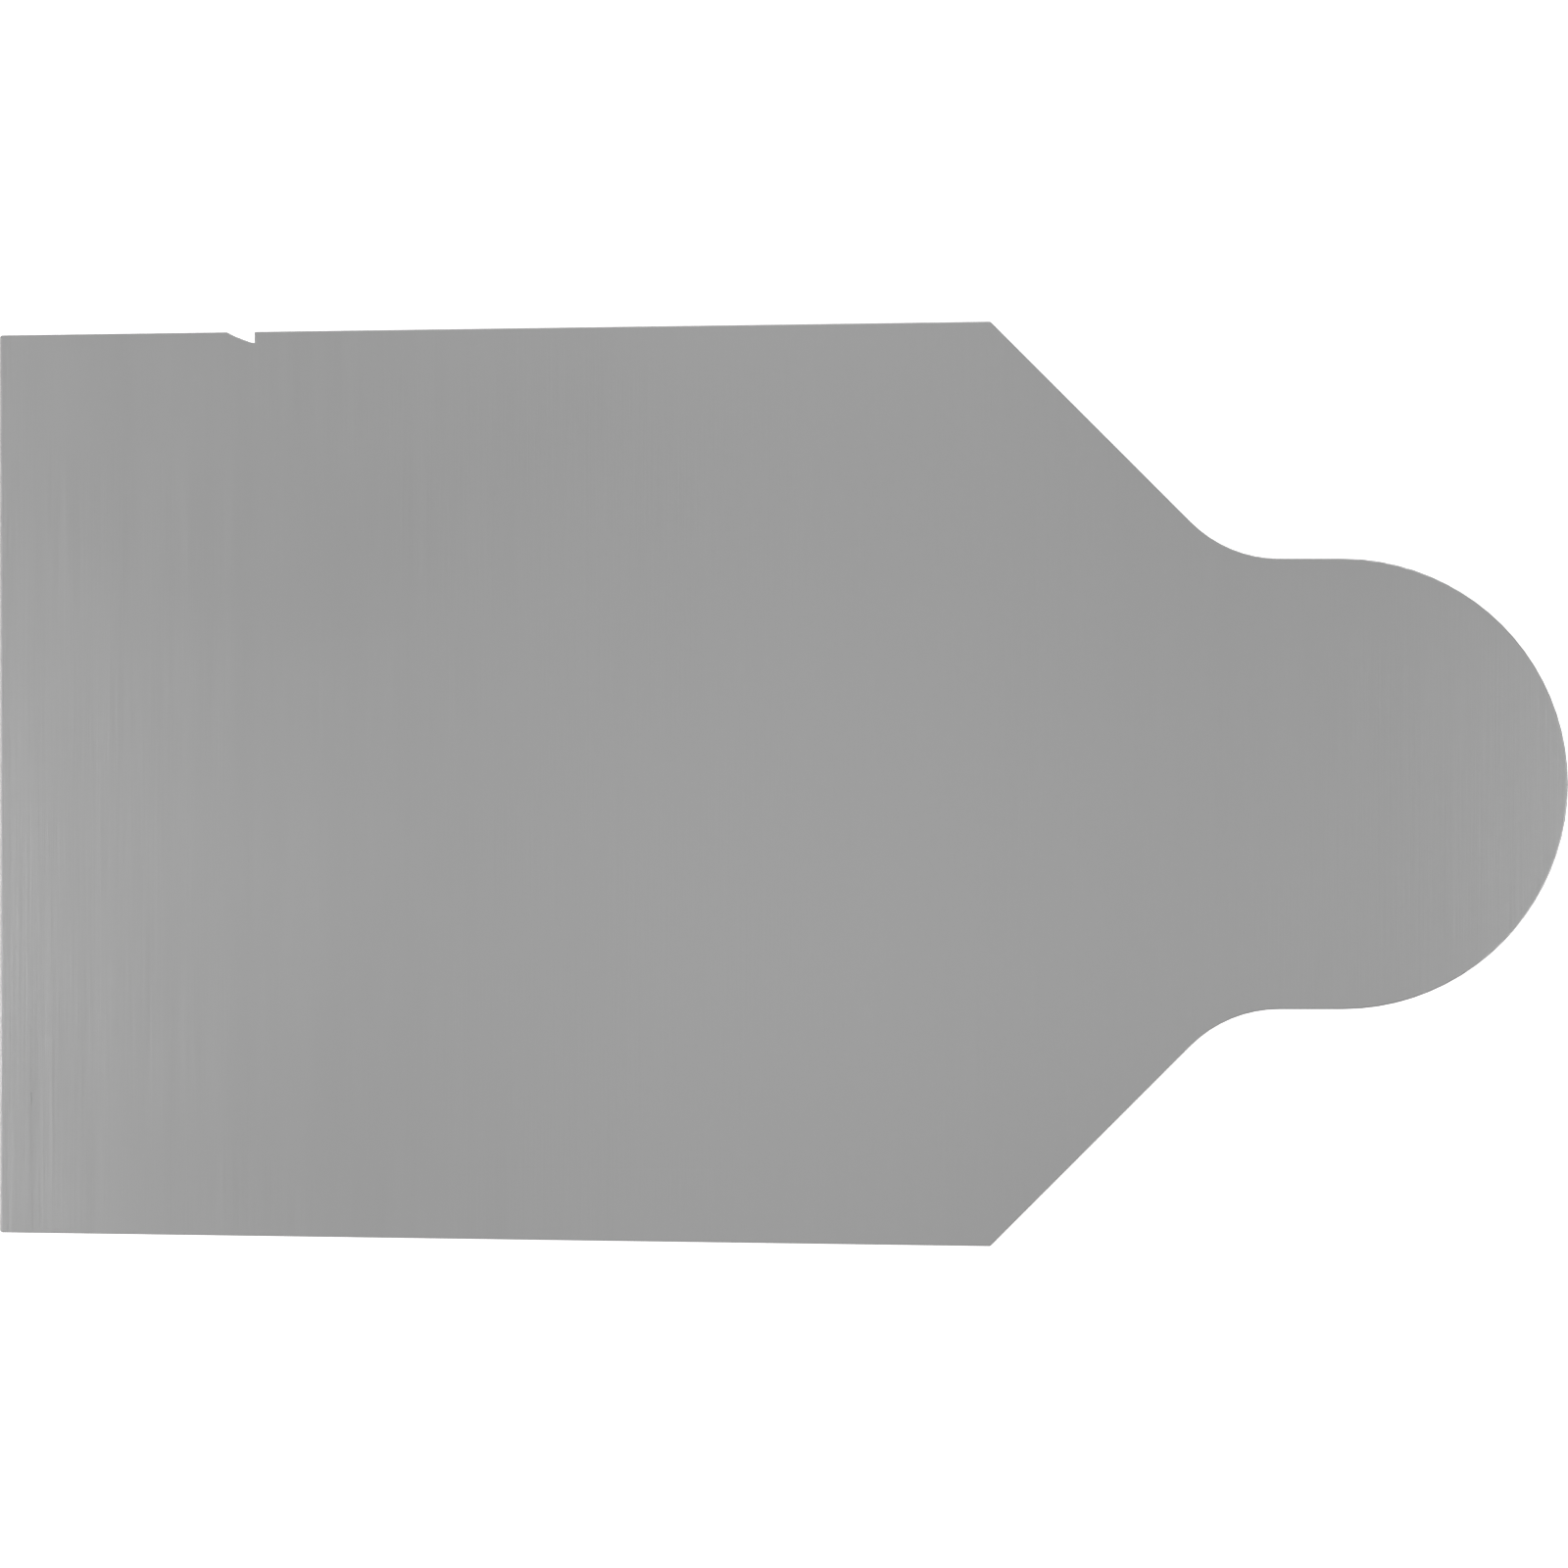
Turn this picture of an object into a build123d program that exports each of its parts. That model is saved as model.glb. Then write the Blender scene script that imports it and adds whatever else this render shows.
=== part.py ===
"""Mortar hawk: a thin stainless blade with a straight front edge and a rounded tail,
carried on an upright turned handle that screws onto a stud under the balance point.

Frame: origin at the centre of the handle's flat foot, +Z up the handle to the blade,
+X from the straight front edge towards the rounded tail. Millimetres."""

import math
import os

from build123d import *

os.makedirs("parts", exist_ok=True)

# ---------------------------------------------------------------- driving dimensions
# blade outline, measured from the straight front edge
blade_length = 355.6  # 14 in overall
front_half = 101.7  # half width at the front edge (8 in)
shoulder_half = 104.85  # half width at the shoulders (8 1/4 in)
shoulder_from_front = 224.6
tail_radius = 51.1  # round tail, 4 in across
neck_fillet = 28.4  # hollow between the 45 degree flank and the tail
corner_radius = 0.6
blade_thickness = 1.2  # 18 gauge sheet
rim_roll = 0.28
handle_from_front = 153.3  # the blade's balance point
# nick in the long edge: (distance from the front, depth below the edge)
nick = [(51.5, 0.0), (53.4, 1.0), (55.6, 1.87), (56.9, 2.38), (57.75, 2.46), (57.75, 0.0)]

# heights above the foot
blade_top = 132.0
blade_under = blade_top - blade_thickness  # 130.8
plate_thickness = 2.0
plate_under = blade_under - plate_thickness  # 128.8
boss_depth = 5.6  # room above the boss floor for the stud's head
boss_floor_top = blade_under - boss_depth  # 125.2
boss_under = boss_floor_top - plate_thickness  # 123.2

# weld studs and their nuts
stud_x, stud_y = 38.0, 32.0  # half pitches
lobe_radius = 10.0
hub_radius = 31.0
weld_stud_r = 2.5
weld_foot_r, weld_foot_h = 3.25, 0.8
weld_stud_end = 121.4
washer_r, washer_bore_r, washer_t = 5.0, 2.7, 1.0
lock_nut_af, lock_nut_h, lock_nut_hex_h = 8.0, 5.0, 3.6

# centre stud, M10
stud_r = 5.0
stud_head_r, stud_head_h = 11.0, 4.6
square_neck = 10.0
stud_end = 101.0
tooth_washer_t, tooth_washer_r = 1.0, 9.0
jam_nut_af, jam_nut_h = 17.0, 5.0
thread_clearance = 0.05

# handle
thrust_t = 0.8
ferrule_top = boss_under - thrust_t  # 122.4
ferrule_r, ferrule_wall = 16.0, 1.0
ferrule_length = 22.0
mouth_r = 11.8  # clears the jam nut and the toothed washer
grip_top = ferrule_top - ferrule_wall  # 121.4
seat_r = ferrule_r - ferrule_wall  # 15.0
insert_top, insert_length, insert_r = 116.0, 28.0, 8.0
pin_z, pin_r = 94.0, 1.5
foot_r = 13.6
press = 0.02  # modelled gap of a press fit

# foam ring
pad_under, pad_top = 113.5, 128.5
pad_bore_r, pad_r = 16.3, 38.0


def x_of(from_front):
    return from_front - handle_from_front


def edge_half(from_front):
    """Half width of the long side at a distance from the front edge."""
    return front_half + (shoulder_half - front_half) * from_front / shoulder_from_front


# ---------------------------------------------------------------- blade
flank_end = shoulder_from_front + (shoulder_half - tail_radius)  # 45 degree flank
tail_centre = blade_length - tail_radius
with BuildPart() as blade:
    with BuildSketch(Plane.XY.offset(blade_under)) as outline:
        with BuildLine():
            Polyline(
                (x_of(tail_centre), tail_radius),
                (x_of(flank_end), tail_radius),
                (x_of(shoulder_from_front), shoulder_half),
                (x_of(0), front_half),
                (x_of(0), -front_half),
                (x_of(shoulder_from_front), -shoulder_half),
                (x_of(flank_end), -tail_radius),
                (x_of(tail_centre), -tail_radius),
            )
            ThreePointArc(
                (x_of(tail_centre), -tail_radius),
                (x_of(blade_length), 0),
                (x_of(tail_centre), tail_radius),
            )
        make_face()
        necks = [v for v in outline.vertices() if abs(v.X - x_of(flank_end)) < 0.01]
        fillet(necks, neck_fillet)
        corners = [v for v in outline.vertices() if abs(v.Y) > front_half - 0.01]
        fillet(corners, corner_radius)
        with BuildLine():
            Polyline(
                [(x_of(d), edge_half(d) - deep) for d, deep in nick]
                + [(x_of(nick[-1][0]), edge_half(nick[-1][0]) + 1.0), (x_of(nick[0][0]), edge_half(nick[0][0]) + 1.0)],
                close=True,
            )
        make_face(mode=Mode.SUBTRACT)
    extrude(amount=blade_thickness)
    # sheared rim: rolled over above, broken below
    fillet(blade.faces().sort_by(Axis.Z)[-1].outer_wire().edges(), rim_roll)
    chamfer(blade.faces().sort_by(Axis.Z)[0].outer_wire().edges(), 0.12)
blade.part.label = "blade"

# ---------------------------------------------------------------- mounting plate, a pressed spider with a raised boss
stud_points = [(sx * stud_x, sy * stud_y) for sx in (-1, 1) for sy in (-1, 1)]
boss_hole_r = 18.0
with BuildPart() as mounting_plate:
    with BuildSketch(Plane.XY.offset(plate_under)) as spider:
        Circle(hub_radius)
        for px, py in stud_points:
            with Locations((px / 2, py / 2)):
                SlotCenterToCenter(
                    math.hypot(px, py), 2 * lobe_radius, rotation=math.degrees(math.atan2(py, px))
                )
        hollows = [
            v
            for v in spider.vertices()
            if abs(math.hypot(v.X, v.Y) - hub_radius) < 0.2
        ]
        fillet(hollows, 9.0)
        with Locations(*stud_points):
            Circle(weld_foot_r + 0.35, mode=Mode.SUBTRACT)
        Circle(boss_hole_r, mode=Mode.SUBTRACT)
    extrude(amount=plate_thickness)
    with BuildSketch(Plane.XZ) as boss_section:
        with BuildLine():
            Polyline(
                (0, boss_under),
                (15.2, boss_under),
                (15.8, plate_under),
                (boss_hole_r + 0.5, plate_under),
                (boss_hole_r + 0.5, blade_under),
                (13.8, blade_under),
                (13.2, boss_floor_top),
                (0, boss_floor_top),
                close=True,
            )
        make_face()
        rounded = boss_section.vertices()
        fillet([v for v in rounded if abs(v.X - 15.2) < 0.01], 1.6)
        fillet([v for v in boss_section.vertices() if abs(v.X - 15.8) < 0.01], 1.2)
        fillet([v for v in boss_section.vertices() if abs(v.X - 13.8) < 0.01], 2.4)
        fillet([v for v in boss_section.vertices() if abs(v.X - 13.2) < 0.01], 0.7)
    revolve(axis=Axis.Z)
    with BuildSketch(Plane.XY.offset(boss_under - 1)):
        Rectangle(square_neck + 0.2, square_neck + 0.2)
    extrude(amount=plate_thickness + 2, mode=Mode.SUBTRACT)
    fillet(
        mounting_plate.edges().filter_by(
            lambda e: abs(e.center().Z - plate_under) < 1e-3
            and e.length > 3.0
            and math.hypot(e.center().X, e.center().Y) > boss_hole_r + 2
            and not any(math.hypot(e.center().X - px, e.center().Y - py) < 4.5 for px, py in stud_points)
        ),
        0.6,
    )
mounting_plate.part.label = "mounting_plate"

# ---------------------------------------------------------------- four weld studs
with BuildPart() as weld_studs:
    with BuildSketch(Plane.XY.offset(blade_under)):
        with Locations(*stud_points):
            Circle(weld_foot_r)
    extrude(amount=-weld_foot_h)
    with BuildSketch(Plane.XY.offset(blade_under)):
        with Locations(*stud_points):
            Circle(weld_stud_r)
    extrude(amount=-(blade_under - weld_stud_end))
    chamfer(weld_studs.faces().sort_by(Axis.Z)[0:4].edges(), 0.5)
weld_studs.part.label = "weld_studs"

# ---------------------------------------------------------------- four flat washers
with BuildPart() as flat_washers:
    with BuildSketch(Plane.XY.offset(plate_under)):
        with Locations(*stud_points):
            Circle(washer_r)
            Circle(washer_bore_r, mode=Mode.SUBTRACT)
    extrude(amount=-washer_t)
    chamfer(
        flat_washers.edges()
        .filter_by(GeomType.CIRCLE)
        .filter_by(lambda e: e.radius > washer_r - 0.01 and e.center().Z < plate_under - 0.5),
        0.2,
    )
flat_washers.part.label = "flat_washers"

# ---------------------------------------------------------------- four locking nuts and their nylon rings
nut_top = plate_under - washer_t  # 127.8
nut_hex_end = nut_top - lock_nut_hex_h
nut_end = nut_top - lock_nut_h
with BuildPart() as lock_nuts:
    with BuildSketch(Plane.XY.offset(nut_top)):
        with Locations(*stud_points):
            RegularPolygon(lock_nut_af / 2, 6, major_radius=False)
    extrude(amount=-lock_nut_hex_h)
    with BuildSketch(Plane.XY.offset(nut_hex_end)):
        with Locations(*stud_points):
            Circle(3.75)
    extrude(amount=-(lock_nut_h - lock_nut_hex_h))
    fillet(
        lock_nuts.edges()
        .filter_by(GeomType.CIRCLE)
        .filter_by(lambda e: abs(e.center().Z - nut_end) < 1e-3),
        0.6,
    )
    # hex corners broken by a cone at the bearing face and at the collar
    with BuildSketch(Plane.XY.offset(nut_top + 1)):
        with Locations(*stud_points):
            Circle(6)
            Circle(4.35, mode=Mode.SUBTRACT)
    extrude(amount=-(1 + 0.35), mode=Mode.SUBTRACT)
    with BuildSketch(Plane.XY.offset(nut_hex_end - 1)):
        with Locations(*stud_points):
            Circle(6)
            Circle(4.35, mode=Mode.SUBTRACT)
    extrude(amount=1 + 0.35, mode=Mode.SUBTRACT)
    # bore, ring seat and lip
    with BuildSketch(Plane.XY.offset(nut_top)):
        with Locations(*stud_points):
            Circle(weld_stud_r + thread_clearance)
    extrude(amount=-lock_nut_h, mode=Mode.SUBTRACT)
    with BuildSketch(Plane.XY.offset(nut_end + 0.25)):
        with Locations(*stud_points):
            Circle(3.25)
    extrude(amount=1.35, mode=Mode.SUBTRACT)
    with BuildSketch(Plane.XY.offset(nut_end)):
        with Locations(*stud_points):
            Circle(2.95)
    extrude(amount=0.5, mode=Mode.SUBTRACT)
lock_nuts.part.label = "lock_nuts"

with BuildPart() as nylon_rings:
    with BuildSketch(Plane.XY.offset(nut_end + 0.27)):
        with Locations(*stud_points):
            Circle(3.23)
            Circle(weld_stud_r + 0.02, mode=Mode.SUBTRACT)
    extrude(amount=1.3)
nylon_rings.part.label = "nylon_rings"

# ---------------------------------------------------------------- centre stud with its domed head and square neck
rim_h = 0.9
dome_r = (stud_head_r**2 + (stud_head_h - rim_h) ** 2) / (2 * (stud_head_h - rim_h))
dome_centre = boss_floor_top + stud_head_h - dome_r
with BuildPart() as handle_stud:
    with BuildSketch(Plane.XZ):
        with BuildLine():
            l1 = Line((0, stud_end), (stud_r - 1.0, stud_end))
            l2 = Line(l1 @ 1, (stud_r, stud_end + 1.0))
            l3 = Line(l2 @ 1, (stud_r, boss_floor_top))
            l4 = Line(l3 @ 1, (stud_head_r, boss_floor_top))
            l5 = Line(l4 @ 1, (stud_head_r, boss_floor_top + rim_h))
            l6 = ThreePointArc(
                l5 @ 1,
                (stud_head_r / 2, dome_centre + math.sqrt(dome_r**2 - stud_head_r**2 / 4)),
                (0, boss_floor_top + stud_head_h),
            )
            Line(l6 @ 1, l1 @ 0)
        make_face()
    revolve(axis=Axis.Z)
    with BuildSketch(Plane.XY.offset(boss_floor_top)):
        Rectangle(square_neck, square_neck)
    extrude(amount=-(plate_thickness - 0.2))
handle_stud.part.label = "handle_stud"

# ---------------------------------------------------------------- toothed washer under the boss
with BuildPart() as toothed_washer:
    with BuildSketch(Plane.XY.offset(boss_under)):
        Circle(tooth_washer_r)
        Circle(stud_r + 0.25, mode=Mode.SUBTRACT)
        with PolarLocations(stud_r + 1.2, 8, start_angle=22.5):
            Rectangle(2.6, 1.3, mode=Mode.SUBTRACT)
    extrude(amount=-tooth_washer_t)
toothed_washer.part.label = "toothed_washer"

# ---------------------------------------------------------------- thin jam nut
jam_top = boss_under - tooth_washer_t  # 122.2
with BuildPart() as jam_nut:
    with BuildSketch(Plane.XY.offset(jam_top)):
        RegularPolygon(jam_nut_af / 2, 6, major_radius=False)
    extrude(amount=-jam_nut_h)
    for z0, amount in ((jam_top + 1, -(1 + 0.7)), (jam_top - jam_nut_h - 1, 1 + 0.7)):
        with BuildSketch(Plane.XY.offset(z0)):
            Circle(12)
            Circle(9.25, mode=Mode.SUBTRACT)
        extrude(amount=amount, mode=Mode.SUBTRACT)
    with BuildSketch(Plane.XY.offset(jam_top)):
        Circle(stud_r + thread_clearance)
    extrude(amount=-jam_nut_h, mode=Mode.SUBTRACT)
    chamfer(
        jam_nut.edges()
        .filter_by(GeomType.CIRCLE)
        .filter_by(lambda e: abs(e.radius - stud_r - thread_clearance) < 0.01),
        0.5,
    )
jam_nut.part.label = "jam_nut"

# ---------------------------------------------------------------- foam ring between hand and blade
with BuildPart() as callus_pad:
    with BuildSketch(Plane.XZ) as pad_section:
        with BuildLine():
            Polyline(
                (pad_bore_r, pad_under),
                (pad_r, pad_under),
                (pad_r, pad_top),
                (pad_bore_r + 3.2, pad_top),
                (pad_bore_r, pad_top - 3.2),
                close=True,
            )
        make_face()
        fillet([v for v in pad_section.vertices() if v.X > pad_r - 0.1], 2.0)
    revolve(axis=Axis.Z)
callus_pad.part.label = "callus_pad"

# ---------------------------------------------------------------- fibre thrust washer on the ferrule
with BuildPart() as thrust_washer:
    with BuildSketch(Plane.XY.offset(ferrule_top)):
        Circle(15.0)
        Circle(mouth_r, mode=Mode.SUBTRACT)
    extrude(amount=thrust_t)
thrust_washer.part.label = "thrust_washer"

# ---------------------------------------------------------------- drawn ferrule
skirt_end = ferrule_top - ferrule_length  # 100.4
with BuildPart() as ferrule:
    with BuildSketch(Plane.XZ) as ferrule_section:
        with BuildLine():
            Polyline(
                (mouth_r, ferrule_top),
                (ferrule_r, ferrule_top),
                (ferrule_r, skirt_end),
                (seat_r, skirt_end),
                (seat_r, grip_top),
                (mouth_r, grip_top),
                close=True,
            )
        make_face()
        fillet([v for v in ferrule_section.vertices() if v.X > ferrule_r - 0.01 and v.Y > ferrule_top - 0.01], 1.2)
        fillet([v for v in ferrule_section.vertices() if v.X > ferrule_r - 0.01 and v.Y < skirt_end + 0.01], 0.45)
        # rolled crimp groove
        with Locations((ferrule_r + 0.75, skirt_end + 5.0), (ferrule_r + 0.75, skirt_end + 8.0)):
            Circle(1.1, mode=Mode.SUBTRACT)
    revolve(axis=Axis.Z)
ferrule.part.label = "ferrule"

# ---------------------------------------------------------------- threaded insert
insert_end = insert_top - insert_length  # 88.0
with BuildPart() as threaded_insert:
    with BuildSketch(Plane.XZ) as insert_section:
        with BuildLine():
            Polyline(
                (stud_r + thread_clearance, insert_end),
                (insert_r, insert_end),
                (insert_r, insert_top),
                (stud_r + thread_clearance + 0.8, insert_top),
                (stud_r + thread_clearance, insert_top - 0.8),
                close=True,
            )
        make_face()
        with Locations(*[(insert_r, insert_end + 3.5 + 4.2 * i) for i in range(6) if i not in (0, 1)]):
            Rectangle(1.2, 1.4, mode=Mode.SUBTRACT)
        chamfer([v for v in insert_section.vertices() if v.X > insert_r - 0.01 and v.Y < insert_end + 0.01], 0.6)
    revolve(axis=Axis.Z)
    with BuildSketch(Plane.XZ.offset(-20)):
        with Locations((0, pin_z)):
            Circle(pin_r + press)
    extrude(amount=40, mode=Mode.SUBTRACT)
threaded_insert.part.label = "threaded_insert"

# ---------------------------------------------------------------- turned grip
with BuildPart() as grip:
    with BuildSketch(Plane.XZ) as grip_section:
        with BuildLine():
            g1 = Line((0, 0), (foot_r, 0))
            g2a = ThreePointArc(g1 @ 1, (foot_r + 2.75, 1.25), (17.5, 4.4))
            g2 = Spline(
                g2a @ 1,
                (18.9, 15.5),
                (17.9, 30.0),
                (16.4, 46.0),
                (16.5, 60.0),
                (17.5, 74.0),
                (17.7, 85.0),
                (16.5, 97.4),
                tangents=((0.3, 1), (-0.25, 1)),
                tangent_scalars=(0.6, 0.6),
            )
            g3 = Line(g2 @ 1, (15.7, skirt_end - press))
            g4 = Line(g3 @ 1, (seat_r - press, skirt_end - press))
            g5 = Line(g4 @ 1, (seat_r - press, grip_top))
            g6 = Line(g5 @ 1, (mouth_r, grip_top))
            g7 = Line(g6 @ 1, (mouth_r, insert_top))
            g8 = Line(g7 @ 1, (insert_r + press, insert_top))
            g9 = Line(g8 @ 1, (insert_r + press, insert_end - 0.1))
            g10 = Line(g9 @ 1, (4.2, insert_end - 3.4))
            g11 = Line(g10 @ 1, (0, insert_end - 3.4))
            Line(g11 @ 1, g1 @ 0)
        make_face()
    revolve(axis=Axis.Z)
    with BuildSketch(Plane.XZ.offset(-30)):
        with Locations((0, pin_z)):
            Circle(pin_r + press)
    extrude(amount=60, mode=Mode.SUBTRACT)
grip.part.label = "grip"

# ---------------------------------------------------------------- cross pin through grip and insert
pin_half = 16.9
with BuildPart() as cross_pin:
    with BuildSketch(Plane.XZ.offset(-pin_half)):
        with Locations((0, pin_z)):
            Circle(pin_r)
    extrude(amount=2 * pin_half)
    chamfer(cross_pin.edges().filter_by(GeomType.CIRCLE), 0.25)
cross_pin.part.label = "cross_pin"

pieces = [
    blade,
    mounting_plate,
    weld_studs,
    flat_washers,
    lock_nuts,
    nylon_rings,
    handle_stud,
    toothed_washer,
    jam_nut,
    callus_pad,
    thrust_washer,
    ferrule,
    threaded_insert,
    grip,
    cross_pin,
]
for piece in pieces:
    export_step(piece.part, f"parts/{piece.part.label}.step")
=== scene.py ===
import math
import random

import bmesh
import bpy
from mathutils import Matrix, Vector, noise


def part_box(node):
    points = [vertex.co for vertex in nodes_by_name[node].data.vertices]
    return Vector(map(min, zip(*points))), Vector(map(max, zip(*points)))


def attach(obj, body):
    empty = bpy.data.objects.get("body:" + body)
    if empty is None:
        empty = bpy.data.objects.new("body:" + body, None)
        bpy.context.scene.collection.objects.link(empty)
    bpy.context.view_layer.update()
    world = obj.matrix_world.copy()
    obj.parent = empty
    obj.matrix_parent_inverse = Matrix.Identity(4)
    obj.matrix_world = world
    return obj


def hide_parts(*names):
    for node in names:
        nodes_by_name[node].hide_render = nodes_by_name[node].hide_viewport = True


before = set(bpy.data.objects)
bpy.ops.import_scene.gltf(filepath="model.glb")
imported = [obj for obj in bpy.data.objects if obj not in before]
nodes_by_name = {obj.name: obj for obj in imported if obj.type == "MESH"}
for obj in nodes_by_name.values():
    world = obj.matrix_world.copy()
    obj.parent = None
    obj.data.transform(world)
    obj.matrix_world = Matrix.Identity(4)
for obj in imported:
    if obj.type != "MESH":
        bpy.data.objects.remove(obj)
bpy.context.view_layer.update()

scene = bpy.context.scene
MM = 0.001


# ------------------------------------------------------------------ node helpers
class Mat:
    """A material with a Principled shader and short calls for its nodes."""

    def __init__(self, name, **values):
        self.mat = bpy.data.materials.new(name)
        self.mat.use_nodes = True
        self.tree = self.mat.node_tree
        self.bsdf = self.tree.nodes["Principled BSDF"]
        for key, value in values.items():
            self.bsdf.inputs[key.replace("_", " ")].default_value = value

    def node(self, kind, **sets):
        n = self.tree.nodes.new(kind)
        for key, value in sets.items():
            setattr(n, key, value)
        return n

    def link(self, a, b):
        self.tree.links.new(a, b)
        return b

    def feed(self, socket, value):
        if isinstance(value, bpy.types.NodeSocket):
            self.link(value, socket)
        elif value is not None:
            socket.default_value = value

    def coords(self, scale=(1, 1, 1), rotation=(0, 0, 0), location=(0, 0, 0), source=None):
        if source is None:
            source = self.node("ShaderNodeTexCoord").outputs["Object"]
        m = self.node("ShaderNodeMapping")
        self.feed(m.inputs["Vector"], source)
        m.inputs["Scale"].default_value = scale
        m.inputs["Rotation"].default_value = rotation
        m.inputs["Location"].default_value = location
        return m.outputs["Vector"]

    def noise(self, vector, scale, detail=4.0, rough=0.55, distortion=0.0):
        n = self.node("ShaderNodeTexNoise")
        self.feed(n.inputs["Vector"], vector)
        n.inputs["Scale"].default_value = scale
        n.inputs["Detail"].default_value = detail
        n.inputs["Roughness"].default_value = rough
        n.inputs["Distortion"].default_value = distortion
        return n.outputs["Fac"]

    def voronoi(self, vector, scale, feature="F1", randomness=1.0, out="Distance"):
        n = self.node("ShaderNodeTexVoronoi", feature=feature)
        self.feed(n.inputs["Vector"], vector)
        n.inputs["Scale"].default_value = scale
        n.inputs["Randomness"].default_value = randomness
        return n.outputs[out]

    def ramp(self, fac, stops, interpolation="LINEAR"):
        n = self.node("ShaderNodeValToRGB")
        n.color_ramp.interpolation = interpolation
        el = n.color_ramp.elements
        while len(el) > 1:
            el.remove(el[-1])
        el[0].position, el[0].color = stops[0][0], colour(stops[0][1])
        for position, value in stops[1:]:
            e = el.new(position)
            e.color = colour(value)
        self.feed(n.inputs["Fac"], fac)
        return n.outputs["Color"]

    def math(self, op, a, b=None, c=None, clamp=False):
        n = self.node("ShaderNodeMath", operation=op, use_clamp=clamp)
        for i, v in enumerate((a, b, c)):
            if v is not None:
                self.feed(n.inputs[i], v)
        return n.outputs[0]

    def remap(self, value, lo, hi, to_lo, to_hi, smooth=False):
        n = self.node("ShaderNodeMapRange", interpolation_type="SMOOTHSTEP" if smooth else "LINEAR")
        self.feed(n.inputs["Value"], value)
        for key, v in (("From Min", lo), ("From Max", hi), ("To Min", to_lo), ("To Max", to_hi)):
            n.inputs[key].default_value = v
        return n.outputs[0]

    def mix(self, fac, a, b, blend="MIX"):
        n = self.node("ShaderNodeMix", data_type="RGBA", blend_type=blend)
        self.feed(n.inputs[0], fac)
        self.feed(n.inputs[6], colour(a) if isinstance(a, (tuple, list, float)) else a)
        self.feed(n.inputs[7], colour(b) if isinstance(b, (tuple, list, float)) else b)
        return n.outputs[2]

    def split(self, vector=None):
        if vector is None:
            vector = self.node("ShaderNodeTexCoord").outputs["Object"]
        n = self.node("ShaderNodeSeparateXYZ")
        self.feed(n.inputs[0], vector)
        return n.outputs[0], n.outputs[1], n.outputs[2]

    def join(self, x, y, z):
        n = self.node("ShaderNodeCombineXYZ")
        for i, v in enumerate((x, y, z)):
            self.feed(n.inputs[i], v)
        return n.outputs[0]

    def bump(self, height, strength, distance, normal=None):
        n = self.node("ShaderNodeBump")
        n.inputs["Strength"].default_value = strength
        n.inputs["Distance"].default_value = distance
        self.feed(n.inputs["Height"], height)
        if normal is not None:
            self.feed(n.inputs["Normal"], normal)
        return n.outputs["Normal"]

    def out(self, **sockets):
        for key, value in sockets.items():
            self.feed(self.bsdf.inputs[key.replace("_", " ")], value)
        return self.mat


def colour(v):
    if isinstance(v, (int, float)):
        return (v, v, v, 1.0)
    return (*v, 1.0) if len(v) == 3 else tuple(v)


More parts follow.
